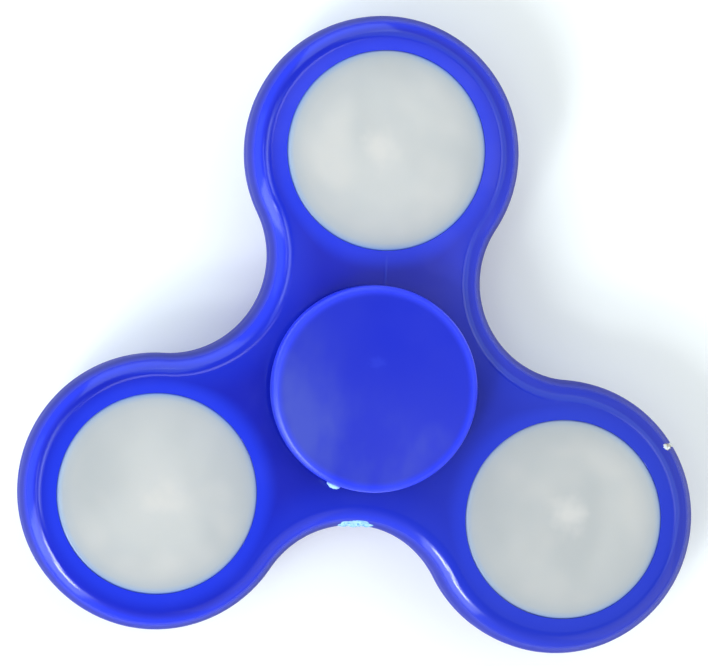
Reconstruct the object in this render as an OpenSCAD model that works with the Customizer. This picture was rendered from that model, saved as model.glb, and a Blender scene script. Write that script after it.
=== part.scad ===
// Three-lobed hand spinner: a moulded frame on a deep-groove ball bearing, two press-in
// finger caps, and three round push pods that light up.
// Millimetres. The origin is on the spin axis, in the plane that the rear cap rests on.
// +Z runs along the spin axis to the front, and the first lobe points along +Y.

/* [Frame] */
// Distance from the spin axis to the centre of each lobe's round outline
lobe_pitch = 25.8; // [25.4:0.1:26.2]
// Radius of each lobe's round outline
lobe_r = 15.2; // [14.8:0.1:15.8]
// Radius of the hollow waist between two lobes
waist_r = 10.7; // [10.2:0.1:11.2]
// Thickness of the frame
frame_t = 7.4; // [7.2:0.1:8]
// Radius of the rounding along the frame's outer edges
edge_r = 2.6; // [1:0.1:3.2]
// Distance from the spin axis to each pod's axis
pod_pitch = 26.1; // [25.8:0.1:26.3]

/* [Bearing] */
// Outer radius of the bearing
bearing_r = 11; // [11:1:11]
// Bore radius of the bearing
bearing_bore_r = 4; // [4:1:4]
// Width of the bearing
bearing_w = 7; // [7:1:7]
// Radius of a ball
ball_r = 1.984; // [1.9:0.002:1.984]
// How many balls the bearing holds
ball_count = 7; // [6:1:7]
// Radius of the circle through the balls' centres
ball_pitch_r = 7.5; // [7.5:0.1:7.6]
// Outside radius of the inner race's shoulders
inner_land_r = 6.1; // [5.9:0.1:6.3]
// Inside radius of the outer race's shoulders
outer_land_r = 8.9; // [8.7:0.1:9.1]
// Width of the cage's ring, along the radius
cage_w = 1.1; // [0.8:0.1:1.3]

/* [Finger caps] */
// Outside radius of a finger cap
cap_r = 11.3; // [10.5:0.1:12]
// Height of a cap's rim above the frame's face
cap_rise = 4.4; // [3.8:0.1:4.8]
// Gap between a cap's skirt and the frame's face
cap_gap = 1.6; // [1:0.1:1.9]
// Depth of the dish in a cap's face
cap_dish = 0.6; // [0.2:0.1:0.8]
// Wall thickness of a cap's face and skirt
cap_wall = 1.2; // [0.8:0.1:1.4]
// Length of a cap's stem inside the bearing
stem_len = 3.3; // [2:0.1:3.4]

/* [Pods] */
// Outside radius of a pod's lens
lens_r = 10.88; // [10.7:0.01:10.9]
// Height of the lens's crown above the frame's face
lens_crown = 0.15; // [0:0.05:0.4]
// Thickness of the lens's face
lens_t = 0.9; // [0.7:0.1:1]
// How far a lens travels when it is pressed
press_travel = 0.3; // [0.1:0.05:0.3]
// Radius of the coin cell
cell_r = 6.25; // [6.25:0.25:6.25]
// Thickness of the coin cell
cell_t = 2; // [2:0.5:2]
// Distance from the pod's axis to each light
led_pitch = 6.5; // [6.3:0.1:6.6]
// Sideways offset of the switch from the pod's axis
switch_offset = 0.8; // [0.6:0.1:1]

/* [Hidden] */
$fn = 96;

lobes = 3;
lobe_step = 360 / lobes;
arc_steps = 6;
past = 1;

// Heights above the rest plane
rear_z = cap_rise;
front_z = rear_z + frame_t;
middle_z = rear_z + frame_t / 2;
bearing_recess = (frame_t - bearing_w) / 2;

// The waist's centre: as far from a lobe's centre as both radii together, half a step round
reach = lobe_r + waist_r;
waist_pitch = (lobe_pitch + sqrt(4 * pow(reach, 2) - 3 * pow(lobe_pitch, 2))) / 2;
first_lobe_a = 90;
waist_side = [waist_pitch * sin(lobe_step / 2), waist_pitch * cos(lobe_step / 2) - lobe_pitch];
lobe_half_sweep = 90 - atan2(waist_side[1], waist_side[0]);
waist_sweep = 2 * lobe_half_sweep - lobe_step;
lobe_steps = 36;
waist_steps = 18;

// Bearing
groove_play = 0.04;
pocket_play = 0.06;
race_chamfer = 0.3;
shield_step_r = 9.6;
shield_step_t = 0.7;
cage_base_z = -2.9;
cage_tip_z = 1;

// Finger caps
cap_edge_r = 0.6;
cap_land = 0.4;
cap_lip_r = 0.3;
boss_r = 5.9;
stem_bore_r = 2.5;
stem_floor_z = 1.4;
stem_chamfer = 0.4;
cap_land_r = cap_r - cap_edge_r;
cap_dish_r = cap_land_r - cap_land;

// Pods, with heights below the frame's front face
case_r = 11;
case_wall = 1.1;
case_floor = 0.8;
case_chamfer = 0.3;
neck_r = 9.7;
neck_t = 0.7;
neck_top_z = -1.4;
bead_r = 10.15;
bead_top_z = -2.1;
bead_bottom_z = -2.5;
bead_sweep = 40;
board_z = -3.6;
board_t = 0.8;
board_r = 8.9;
lens_edge_r = 0.5;
lens_wall = 0.58;
lens_lip_r = 9.95;
lens_lip_gap = 0.1;
lens_foot_play = 0.2;
lens_post_r = 1;
peg_r = 0.6;
peg_pitch = 8;
led_size = [3.5, 2.8, 1.2];
chip_size = [3, 1.8, 1.1];
chip_y = -5.7;

// Push switch, centred on the switch's own axis
switch_w = 4.6;
switch_t = 1.3;
switch_well_r = 1.9;
switch_floor_t = 0.3;
cover_t = 0.2;
cover_leg = 0.9;
cover_hole_r = 1.25;
plunger_r = 1.1;
plunger_flange_r = 1.6;
plunger_flange_t = 0.4;
plunger_play = 0.05;
plunger_top_z = -1.6;
dome_r = 1.8;
dome_t = 0.1;
switch_top_z = board_z + switch_t;

// Battery clip
clip_w = 4;
clip_t = 0.15;
clip_gap = 0.1;
board_floor_z = board_z - board_t;

body_blue = [0.07, 0.1, 0.75];
milky = [0.85, 0.88, 0.86, 0.9];

// A quarter round in steps, as [distance in from the wall, height from the edge's start]
function quarter(r) = [for (i = [0 : arc_steps])
    let (a = 90 * i / arc_steps) [r * (1 - cos(a)), r * sin(a)]];

// The outer edge from the rear face to the front face: [inset from the full outline, height]
edge_path = concat(
    [for (i = [arc_steps : -1 : 0]) [quarter(edge_r)[i][0], edge_r - quarter(edge_r)[i][1]]],
    [for (p = quarter(edge_r)) [p[0], frame_t - edge_r + p[1]]]
);

function polar(r, a) = [r * cos(a), r * sin(a)];

// Frame

// One turn round the outline, moved in from its full size by inset
function outline(inset) = [for (i = [0 : lobes - 1])
    let (
        a = first_lobe_a + i * lobe_step,
        lobe = polar(lobe_pitch, a),
        waist = polar(waist_pitch, a + lobe_step / 2)
    )
    each concat(
        [for (k = [0 : lobe_steps])
            lobe + polar(lobe_r - inset, a + lobe_half_sweep * (2 * k / lobe_steps - 1))],
        [for (k = [1 : waist_steps - 1])
            waist + polar(waist_r + inset,
                a + lobe_half_sweep + 180 - waist_sweep * k / waist_steps)]
    )];

module frame_skin() {
    rings = [for (p = edge_path) [for (q = outline(p[0])) [q[0], q[1], p[1]]]];
    count = len(rings[0]);
    last = (len(rings) - 1) * count;
    rear_centre = last + count;
    polyhedron(
        points = concat([for (ring = rings) each ring], [[0, 0, 0], [0, 0, frame_t]]),
        faces = concat(
            [for (j = [0 : len(rings) - 2]) each [for (k = [0 : count - 1])
                let (low = j * count, next = (k + 1) % count)
                [low + k, low + count + k, low + count + next, low + next]]],
            [for (k = [0 : count - 1]) [rear_centre, k, (k + 1) % count]],
            [for (k = [0 : count - 1]) [rear_centre + 1, last + (k + 1) % count, last + k]]
        )
    );
}

module frame() {
    color(body_blue)
        translate([0, 0, rear_z])
            difference() {
                frame_skin();
                translate([0, 0, -past])
                    cylinder(r = bearing_r, h = frame_t + 2 * past);
                for (i = [0 : lobes - 1])
                    rotate([0, 0, i * lobe_step])
                        translate([0, pod_pitch, -past])
                            cylinder(r = case_r, h = frame_t + 2 * past);
            }
}

// Bearing, drawn about its own middle

module ball_groove() {
    rotate_extrude()
        translate([ball_pitch_r, 0])
            circle(r = ball_r + groove_play);
}

module outer_race() {
    step_z = bearing_w / 2 - shield_step_t;
    color("silver")
        translate([0, 0, middle_z])
            difference() {
                rotate_extrude()
                    polygon([
                        [outer_land_r, -step_z],
                        [shield_step_r, -step_z],
                        [shield_step_r, -bearing_w / 2],
                        [bearing_r - race_chamfer, -bearing_w / 2],
                        [bearing_r, -bearing_w / 2 + race_chamfer],
                        [bearing_r, bearing_w / 2 - race_chamfer],
                        [bearing_r - race_chamfer, bearing_w / 2],
                        [shield_step_r, bearing_w / 2],
                        [shield_step_r, step_z],
                        [outer_land_r, step_z]
                    ]);
                ball_groove();
            }
}

module inner_race() {
    color("silver")
        translate([0, 0, middle_z])
            difference() {
                rotate_extrude()
                    polygon([
                        [bearing_bore_r, -bearing_w / 2 + race_chamfer],
                        [bearing_bore_r + race_chamfer, -bearing_w / 2],
                        [inner_land_r, -bearing_w / 2],
                        [inner_land_r, bearing_w / 2],
                        [bearing_bore_r + race_chamfer, bearing_w / 2],
                        [bearing_bore_r, bearing_w / 2 - race_chamfer]
                    ]);
                ball_groove();
            }
}

module around_bearing() {
    translate([0, 0, middle_z])
        for (i = [0 : ball_count - 1])
            rotate([0, 0, first_lobe_a + i * 360 / ball_count])
                translate([ball_pitch_r, 0, 0])
                    children();
}

module bearing_balls() {
    color("gainsboro")
        around_bearing()
            sphere(r = ball_r);
}

module ball_cage() {
    color("ivory")
        difference() {
            translate([0, 0, middle_z])
                rotate_extrude()
                    translate([ball_pitch_r - cage_w / 2, cage_base_z])
                        square([cage_w, cage_tip_z - cage_base_z]);
            around_bearing()
                sphere(r = ball_r + pocket_play);
        }
}

// Finger caps, drawn with the frame's front face at zero height

module finger_cap() {
    dish = [for (i = [0 : arc_steps])
        let (f = i / arc_steps) [cap_dish_r * f, cap_rise - cap_dish * (1 - pow(f, 2))]];
    edge = [for (i = [arc_steps : -1 : 0])
        let (p = quarter(cap_edge_r)[i]) [cap_r - p[0], cap_rise - cap_edge_r + p[1]]];
    face_back_z = cap_rise - cap_dish - cap_wall;
    stem_end_z = -bearing_recess - stem_len;
    rotate_extrude()
        polygon(concat(
            dish,
            edge,
            [
                [cap_r, cap_gap + cap_lip_r],
                [cap_r - cap_lip_r, cap_gap],
                [cap_r - cap_wall, cap_gap],
                [cap_r - cap_wall, face_back_z],
                [boss_r, face_back_z],
                [boss_r, -bearing_recess],
                [bearing_bore_r, -bearing_recess],
                [bearing_bore_r, stem_end_z + stem_chamfer],
                [bearing_bore_r - stem_chamfer, stem_end_z],
                [stem_bore_r, stem_end_z],
                [stem_bore_r, stem_floor_z],
                [0, stem_floor_z]
            ]
        ));
}

module front_cap() {
    color(body_blue)
        translate([0, 0, front_z])
            finger_cap();
}

module rear_cap() {
    color(body_blue)
        translate([0, 0, rear_z])
            mirror([0, 0, 1])
                finger_cap();
}

// Pods, drawn about their own axis with the frame's front face at zero height

module at_pod(number) {
    rotate([0, 0, (number - 1) * lobe_step])
        translate([0, pod_pitch, front_z])
            children();
}

module around_pod() {
    for (i = [0 : lobes - 1])
        rotate([0, 0, i * lobe_step])
            children();
}

module pod_lens(number) {
    lip_top_z = bead_bottom_z - lens_lip_gap;
    lip_bottom_z = board_z + press_travel + lens_foot_play;
    face_r = lens_r - lens_edge_r;
    crown = [for (i = [0 : arc_steps])
        let (f = i / arc_steps) [face_r * f, lens_crown * (1 - pow(f, 2))]];
    edge = [for (i = [arc_steps - 1 : -1 : 0])
        let (p = quarter(lens_edge_r)[i]) [lens_r - p[0], p[1] - lens_edge_r]];
    color(milky)
        at_pod(number) {
            rotate_extrude()
                polygon(concat(
                    crown,
                    edge,
                    [
                        [lens_r, lip_bottom_z],
                        [lens_lip_r, lip_bottom_z],
                        [lens_lip_r, lip_top_z],
                        [lens_r - lens_wall, lip_top_z],
                        [lens_r - lens_wall, -lens_t],
                        [0, -lens_t]
                    ]
                ));
            translate([-switch_offset, 0, plunger_top_z])
                cylinder(r = lens_post_r, h = -lens_t / 2 - plunger_top_z);
        }
}

module pod_case(number) {
    rear = -frame_t;
    floor_z = rear + case_floor;
    neck_in_r = neck_r - neck_t;
    color(milky)
        at_pod(number) {
            rotate_extrude()
                polygon([
                    [0, rear],
                    [case_r - case_chamfer, rear],
                    [case_r, rear + case_chamfer],
                    [case_r, board_z],
                    [neck_r, board_z],
                    [neck_r, neck_top_z],
                    [neck_in_r, neck_top_z],
                    [neck_in_r, board_floor_z],
                    [case_r - case_wall, board_floor_z],
                    [case_r - case_wall, floor_z],
                    [0, floor_z]
                ]);
            around_pod() {
                rotate([0, 0, first_lobe_a - bead_sweep / 2])
                    rotate_extrude(angle = bead_sweep)
                        translate([neck_r - neck_t / 2, bead_bottom_z])
                            square([bead_r - neck_r + neck_t / 2, bead_top_z - bead_bottom_z]);
                translate([0, peg_pitch, floor_z - case_floor / 2])
                    cylinder(r = peg_r, h = board_floor_z - floor_z + case_floor / 2);
            }
        }
}

module circuit_board(number) {
    color("seagreen")
        at_pod(number)
            translate([0, 0, board_floor_z])
                cylinder(r = board_r, h = board_t);
}

module block(size) {
    translate([-size[0] / 2, -size[1] / 2, 0])
        cube(size);
}

module light_diodes(number) {
    color("lightyellow")
        at_pod(number)
            around_pod()
                translate([0, led_pitch, board_z])
                    block(led_size);
}

module controller_chip(number) {
    color("dimgray")
        at_pod(number)
            translate([0, chip_y, board_z])
                block(chip_size);
}

module at_switch(number) {
    at_pod(number)
        translate([-switch_offset, 0, 0])
            children();
}

module switch_base(number) {
    color("black")
        at_switch(number)
            difference() {
                translate([0, 0, board_z])
                    block([switch_w, switch_w, switch_t]);
                translate([0, 0, board_z + switch_floor_t])
                    cylinder(r = switch_well_r, h = switch_t);
            }
}

module switch_cover(number) {
    color("lightgray")
        at_switch(number) {
            difference() {
                translate([0, 0, switch_top_z])
                    block([switch_w + 2 * cover_t, switch_w, cover_t]);
                translate([0, 0, switch_top_z - past])
                    cylinder(r = cover_hole_r, h = cover_t + 2 * past);
            }
            for (side = [-1, 1])
                translate([side * (switch_w + cover_t) / 2, 0, switch_top_z - cover_leg])
                    block([cover_t, switch_w / 2, cover_leg + cover_t / 2]);
        }
}

module switch_plunger(number) {
    flange_top_z = switch_top_z - plunger_play;
    color("black")
        at_switch(number)
            rotate_extrude()
                polygon([
                    [0, flange_top_z - plunger_flange_t],
                    [plunger_flange_r, flange_top_z - plunger_flange_t],
                    [plunger_flange_r, flange_top_z],
                    [plunger_r, flange_top_z],
                    [plunger_r, plunger_top_z],
                    [0, plunger_top_z]
                ]);
}

module switch_dome(number) {
    rim_z = board_z + switch_floor_t;
    crown_z = switch_top_z - plunger_play - plunger_flange_t - dome_t;
    top = [for (i = [0 : arc_steps])
        let (f = i / arc_steps) [dome_r * f, crown_z + (rim_z - crown_z) * pow(f, 2)]];
    color("goldenrod")
        at_switch(number)
            rotate_extrude()
                polygon(concat(
                    [for (p = top) [p[0], p[1] + dome_t]],
                    [for (i = [arc_steps : -1 : 0]) top[i]]
                ));
}

module coin_cell(number) {
    color("silver")
        at_pod(number)
            translate([0, 0, board_floor_z - cell_t])
                cylinder(r = cell_r, h = cell_t);
}

module battery_clip(number) {
    strap_z = board_floor_z - cell_t - clip_t;
    span = 2 * (cell_r + clip_gap);
    color("darkkhaki")
        at_pod(number) {
            translate([0, 0, strap_z])
                block([span, clip_w, clip_t]);
            for (side = [-1, 1])
                translate([side * (span + clip_t) / 2, 0, strap_z])
                    block([clip_t, clip_w, board_floor_z - strap_z]);
        }
}

frame();
outer_race();
inner_race();
bearing_balls();
ball_cage();
front_cap();
rear_cap();
pod_lens(1);  // pod_lens_1
pod_case(1);  // pod_case_1
circuit_board(1);  // circuit_board_1
light_diodes(1);  // light_diodes_1
controller_chip(1);  // controller_chip_1
switch_base(1);  // switch_base_1
switch_cover(1);  // switch_cover_1
switch_plunger(1);  // switch_plunger_1
switch_dome(1);  // switch_dome_1
coin_cell(1);  // coin_cell_1
battery_clip(1);  // battery_clip_1
pod_lens(2);  // pod_lens_2
pod_case(2);  // pod_case_2
circuit_board(2);  // circuit_board_2
light_diodes(2);  // light_diodes_2
controller_chip(2);  // controller_chip_2
switch_base(2);  // switch_base_2
switch_cover(2);  // switch_cover_2
switch_plunger(2);  // switch_plunger_2
switch_dome(2);  // switch_dome_2
coin_cell(2);  // coin_cell_2
battery_clip(2);  // battery_clip_2
pod_lens(3);  // pod_lens_3
pod_case(3);  // pod_case_3
circuit_board(3);  // circuit_board_3
light_diodes(3);  // light_diodes_3
controller_chip(3);  // controller_chip_3
switch_base(3);  // switch_base_3
switch_cover(3);  // switch_cover_3
switch_plunger(3);  // switch_plunger_3
switch_dome(3);  // switch_dome_3
coin_cell(3);  // coin_cell_3
battery_clip(3);  // battery_clip_3
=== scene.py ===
"""The looks of a three-lobed light-up hand spinner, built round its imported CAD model."""

import math
import random

import bmesh
import bpy
from mathutils import Matrix, Vector
from mathutils.geometry import delaunay_2d_cdt


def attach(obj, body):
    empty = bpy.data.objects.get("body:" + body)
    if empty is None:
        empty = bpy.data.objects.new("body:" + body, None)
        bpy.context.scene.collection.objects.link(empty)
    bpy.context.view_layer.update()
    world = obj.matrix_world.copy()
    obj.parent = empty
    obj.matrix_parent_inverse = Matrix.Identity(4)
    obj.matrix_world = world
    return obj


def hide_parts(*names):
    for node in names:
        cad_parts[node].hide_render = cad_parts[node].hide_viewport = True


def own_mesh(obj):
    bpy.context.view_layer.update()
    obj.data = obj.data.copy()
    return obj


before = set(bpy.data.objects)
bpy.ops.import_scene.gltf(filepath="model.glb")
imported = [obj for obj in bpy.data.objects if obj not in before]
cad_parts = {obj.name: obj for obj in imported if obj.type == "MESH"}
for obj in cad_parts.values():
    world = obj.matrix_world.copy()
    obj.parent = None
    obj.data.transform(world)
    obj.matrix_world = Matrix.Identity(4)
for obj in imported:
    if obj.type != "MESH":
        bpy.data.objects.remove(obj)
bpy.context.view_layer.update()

# ---- Sizes, in millimetres, as in the CAD model ----
MM = 0.001
PODS = (1, 2, 3)
POD_STEP = math.radians(120)
FIRST_LOBE = math.radians(90)

LOBE_PITCH = 25.8
LOBE_R = 15.2
WAIST_R = 10.7
FRAME_T = 7.4
EDGE_R = 2.6
POD_PITCH = 26.1
POD_HOLE_R = 11.0
REAR_Z = 4.4
FRONT_Z = REAR_Z + FRAME_T
MIDDLE_Z = REAR_Z + FRAME_T / 2

CAP_R = 11.3
CAP_RISE = 4.4
CAP_GAP = 1.6
CAP_DISH = 0.6
CAP_WALL = 1.2
CAP_EDGE_R = 0.6
CAP_LAND_R = 10.7
CAP_DISH_R = 10.3
BOSS_R = 5.9
STEM_R = 4.0
STEM_BORE_R = 2.5
STEM_FLOOR = 1.4
STEM_END = -3.5
BEARING_RECESS = 0.2

BEARING_R = 11.0
BEARING_W = 7.0
BALL_R = 1.984
BALL_COUNT = 7
BALL_PITCH_R = 7.5
INNER_LAND_R = 6.1
OUTER_LAND_R = 8.9
SHIELD_STEP_R = 9.6
SHIELD_STEP = 0.7
GROOVE_R = 2.024
CAGE_IN_R = 6.95
CAGE_OUT_R = 8.05
CAGE_BASE = -2.9
CAGE_TIP = 1.0
POCKET_R = 2.044

LENS_R = 10.985
LENS_CROWN = 0.15
LENS_T = 0.9
LENS_SHOULDER_W = 1.3
LENS_SHOULDER_DROP = 0.26
LENS_WALL = 0.58
LENS_LIP_R = 9.95
LENS_LIP_TOP = -2.6
LENS_LIP_BOTTOM = -3.1
POST_R = 1.0
POST_END = -1.6
SWITCH_X = -0.8
SWITCH_BASE_H = 1.3
SWITCH_STEPS = 96
DOME_T = 0.1

BOARD_TOP = -3.6
BOARD_T = 0.8
DOME_RIM = BOARD_TOP + 0.3
PLUNGER_FLANGE = BOARD_TOP + SWITCH_BASE_H - 0.05
BOARD_R = 8.9
CELL_R = 6.25
CELL_T = 2.0
LED_PITCH = 6.5
CHIP_Y = -5.7
LEG_PITCH = 0.76


# ---- Shapes: lists of points and faces, in millimetres ----
class Shape:
    """The points and faces of one piece, with a whiteness for each point where plastic has torn."""

    def __init__(self):
        self.points = []
        self.faces = []
        self.torn = {}

    def add(self, points, faces, turn=0.0, at=(0.0, 0.0, 0.0)):
        start = len(self.points)
        c, s = math.cos(turn), math.sin(turn)
        for x, y, z in points:
            self.points.append((x * c - y * s + at[0], x * s + y * c + at[1], z + at[2]))
        self.faces += [[start + i for i in face] for face in faces]
        return self


def arc(centre, radius, first, last, steps=8):
    """Points round a centre from one angle to another, in degrees."""
    turns = [math.radians(first + (last - first) * i / steps) for i in range(steps + 1)]
    return [(centre[0] + radius * math.cos(t), centre[1] + radius * math.sin(t)) for t in turns]


def polar(radius, angle):
    return radius * math.cos(angle), radius * math.sin(angle)


def even_turns(steps):
    return [2 * math.pi * i / steps for i in range(steps)]


def revolve(profile, turns):
    """A closed profile of (radius, height) turned round the axis. Points on the axis are shared."""
    points, faces, rows = [], [], []
    for r, z in profile:
        if r < 1e-6:
            rows.append([len(points)] * len(turns))
            points.append((0.0, 0.0, z))
        else:
            rows.append(list(range(len(points), len(points) + len(turns))))
            points += [(*polar(r, t), z) for t in turns]
    for low, high in zip(rows, rows[1:] + rows[:1]):
        for k in range(len(turns)):
            n = (k + 1) % len(turns)
            corners = [low[k], low[n], high[n], high[k]]
            face = [c for i, c in enumerate(corners) if c not in corners[:i]]
            if len(face) > 2:
                faces.append(face)
    return points, faces


def loft(rings):
    """Faces between rings of the same length."""
    points = [p for ring in rings for p in ring]
    count = len(rings[0])
    faces = []
    for j in range(len(rings) - 1):
        for k in range(count):
            n = (k + 1) % count
            faces.append([j * count + k, j * count + n, (j + 1) * count + n, (j + 1) * count + k])
    return points, faces


def closed_loft(rings):
    """A loft with a face over its first and its last ring."""
    points, faces = loft(rings)
    count = len(rings[0])
    return points, faces + [list(range(count))[::-1], list(range(len(points) - count, len(points)))]


def round_ring(radius, z, steps):
    return [(*polar(radius, t), z) for t in even_turns(steps)]


def square_ring(half_x, half_y, z, steps):
    """A rectangle's outline at one height, with its points at even angles."""
    ring = []
    for t in even_turns(steps):
        c, s = math.cos(t), math.sin(t)
        k = 1 / max(abs(c) / half_x, abs(s) / half_y)
        ring.append((k * c, k * s, z))
    return ring


def from_bmesh(bm):
    """A working mesh's points and faces."""
    bm.verts.index_update()
    result = [tuple(v.co) for v in bm.verts], [[v.index for v in f.verts] for f in bm.faces]
    bm.free()
    return result


def block(size, edge=0.08, steps=2):
    """A block with rounded edges, standing on z = 0 and centred on the axis."""
    bm = bmesh.new()
    bmesh.ops.create_cube(bm, size=1)
    for v in bm.verts:
        v.co = (v.co.x * size[0], v.co.y * size[1], (v.co.z + 0.5) * size[2])
    bmesh.ops.bevel(bm, geom=bm.edges[:], offset=edge, segments=steps, profile=0.5,
                    affect="EDGES", clamp_overlap=True)
    return from_bmesh(bm)


def ball(radius, steps=24):
    bm = bmesh.new()
    bmesh.ops.create_uvsphere(bm, u_segments=2 * steps, v_segments=steps, radius=radius)
    return from_bmesh(bm)


def plate_between(rings, z, up=True):
    """A flat face between an outer outline and holes: all outlines are lists of (x, y)."""
    flat, edges = [], []
    for ring in rings:
        start = len(flat)
        flat += [Vector(p) for p in ring]
        edges += [(start + i, start + (i + 1) % len(ring)) for i in range(len(ring))]
    points, _, faces, _, _, _ = delaunay_2d_cdt(flat, edges, [], 1, 1e-5)
    kept = []
    for face in faces:
        mid = sum((points[i] for i in face), Vector((0, 0))) / len(face)
        if not any(inside(mid, hole) for hole in rings[1:]):
            area = sum(points[a].cross(points[b]) for a, b in zip(face, face[1:] + face[:1]))
            kept.append(list(face) if (area > 0) == up else list(reversed(face)))
    return [(p.x, p.y, z) for p in points], kept


def inside(point, ring):
    """Whether a point is inside a closed outline."""
    odd = False
    for (x1, y1), (x2, y2) in zip(ring, ring[1:] + ring[:1]):
        if (y1 > point.y) != (y2 > point.y):
            if point.x < x1 + (point.y - y1) * (x2 - x1) / (y2 - y1):
                odd = not odd
    return odd


# ---- Pieces ----
def pod_turn(number):
    return (number - 1) * POD_STEP


def pod_place(number):
    """Where a pod's own axis meets the frame's front face, in metres."""
    return Vector((*polar(POD_PITCH, FIRST_LOBE + pod_turn(number)), FRONT_Z)) * MM


def weld(mesh):
    """Joins points that meet and turns all faces outwards."""
    bm = bmesh.new()
    bm.from_mesh(mesh)
    bmesh.ops.remove_doubles(bm, verts=bm.verts, dist=1e-7)
    bmesh.ops.recalc_face_normals(bm, faces=bm.faces)
    bm.to_mesh(mesh)
    bm.free()


def smooth_all(mesh):
    """Shades a mesh smoothly all over, but keeps its level faces exactly level."""
    normals = [tuple(n.vector) for n in mesh.vertex_normals]
    for face in mesh.polygons:
        if abs(face.normal.z) > 0.99999:
            for corner in face.vertices:
                normals[corner] = (0.0, 0.0, math.copysign(1.0, face.normal.z))
    mesh.normals_split_custom_set_from_vertices(normals)


def piece(name, shape, body, node, material, pod=None, aside=0.0, sharp=32):
    """Makes a shape into a piece that stands for a CAD node, turned and moved to its pod if it has one.

    Edges over sharp degrees stay sharp. With no sharp, it is shaded smoothly all over."""
    if pod:
        shape = Shape().add(shape.points, shape.faces, at=(aside, 0, 0))
        shape = Shape().add(shape.points, shape.faces, turn=pod_turn(pod))
    mesh = bpy.data.meshes.new(name)
    mesh.from_pydata([[c * MM for c in p] for p in shape.points], [], shape.faces)
    if shape.torn:
        layer = mesh.attributes.new("torn", "FLOAT", "POINT")
        for i, value in shape.torn.items():
            layer.data[i].value = value
    weld(mesh)
    mesh.shade_smooth()
    if sharp:
        mesh.set_sharp_from_angle(angle=math.radians(sharp))
    else:
        smooth_all(mesh)
    obj = bpy.data.objects.new(name, mesh)
    bpy.context.scene.collection.objects.link(obj)
    if pod:
        obj.location = pod_place(pod)
    if sharp:
        even = obj.modifiers.new("even_normals", "WEIGHTED_NORMAL")
        even.keep_sharp = True
    mesh.materials.append(material)
    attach(obj, body)
    if node:
        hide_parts(node)
    return obj


# ---- Frame ----
LOBE_STEPS = 132
WAIST_STEPS = 72
HOLE_STEPS = 144
ROUNDING_STEPS = 20
SKIN_INSET = 0.05
CREASE_W = 0.12
CREASE_DEPTH = 0.02
CREASE_WAIST = 2
SEAM_RISE = 0.02
SEAM_W = 0.16
HOLE_EDGE_R = 0.015

# A waist's arc touches the two lobes beside it: its centre, and how far each arc runs
_reach = LOBE_R + WAIST_R
WAIST_PITCH = (LOBE_PITCH + math.sqrt(4 * _reach**2 - 3 * LOBE_PITCH**2)) / 2
_side = (WAIST_PITCH * math.sin(POD_STEP / 2), WAIST_PITCH * math.cos(POD_STEP / 2) - LOBE_PITCH)
LOBE_HALF_SWEEP = math.pi / 2 - math.atan2(_side[1], _side[0])
WAIST_SWEEP = 2 * LOBE_HALF_SWEEP - POD_STEP


def outline(inset):
    """One turn round the frame, moved in from its full size by inset."""
    ring = []
    for i in range(len(PODS)):
        a = FIRST_LOBE + i * POD_STEP
        lobe, waist = polar(LOBE_PITCH, a), polar(WAIST_PITCH, a + POD_STEP / 2)
        for k in range(LOBE_STEPS + 1):
            p = polar(LOBE_R - inset, a + LOBE_HALF_SWEEP * (2 * k / LOBE_STEPS - 1))
            ring.append((lobe[0] + p[0], lobe[1] + p[1]))
        for k in range(1, WAIST_STEPS):
            turn = a + LOBE_HALF_SWEEP + math.pi - WAIST_SWEEP * k / WAIST_STEPS
            p = polar(WAIST_R + inset, turn)
            ring.append((waist[0] + p[0], waist[1] + p[1]))
    return ring


def rounding(top):
    """From the side wall to the flat face: (inset, height, crease depth)."""
    points = []
    for i in range(ROUNDING_STEPS + 1):
        a = math.pi / 2 * i / ROUNDING_STEPS
        inset = EDGE_R - (EDGE_R - SKIN_INSET) * math.cos(a)
        points.append((inset, EDGE_R * math.sin(a), 0))
    for across, depth in ((0.35, CREASE_DEPTH), (0.65, CREASE_DEPTH), (1, 0)):
        points.append((EDGE_R + CREASE_W * across, EDGE_R, depth))
    start = FRAME_T - EDGE_R
    return [(i, start + h, -d) if top else (i, EDGE_R - h, d) for i, h, d in points]


def crease_share():
    """How deep the fine crease beside the rounding is along one turn: it shows at one waist only."""
    share = []
    for waist in range(len(PODS)):
        share += [0.0] * (LOBE_STEPS + 1)
        for k in range(1, WAIST_STEPS):
            along = min(1.0, k / (0.5 * WAIST_STEPS))
            share.append(math.sin(math.pi * along) ** 2 if waist == CREASE_WAIST else 0.0)
    return share


def frame_edge():
    """The whole edge from the rear face to the front face, with the mould's seam half way."""
    mid, half = FRAME_T / 2, SEAM_W / 2
    seam = [(SKIN_INSET, mid - half, 0), (SKIN_INSET - SEAM_RISE, mid - half / 2, 0),
            (SKIN_INSET - SEAM_RISE, mid + half / 2, 0), (SKIN_INSET, mid + half, 0)]
    return rounding(False)[::-1] + seam + rounding(True)


def hole_ring(radius, centre):
    return [(centre[0] + radius * math.cos(t), centre[1] + radius * math.sin(t))
            for t in even_turns(HOLE_STEPS)]


def hole_wall(radius, centre):
    """A hole's wall from the rear face to the front face, with broken edges."""
    path = arc((radius + HOLE_EDGE_R, HOLE_EDGE_R), HOLE_EDGE_R, 270, 180, 4)
    path += [(r, FRAME_T - z) for r, z in reversed(path)]
    return loft([[(x, y, z) for x, y in hole_ring(r, centre)] for r, z in path])


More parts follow.
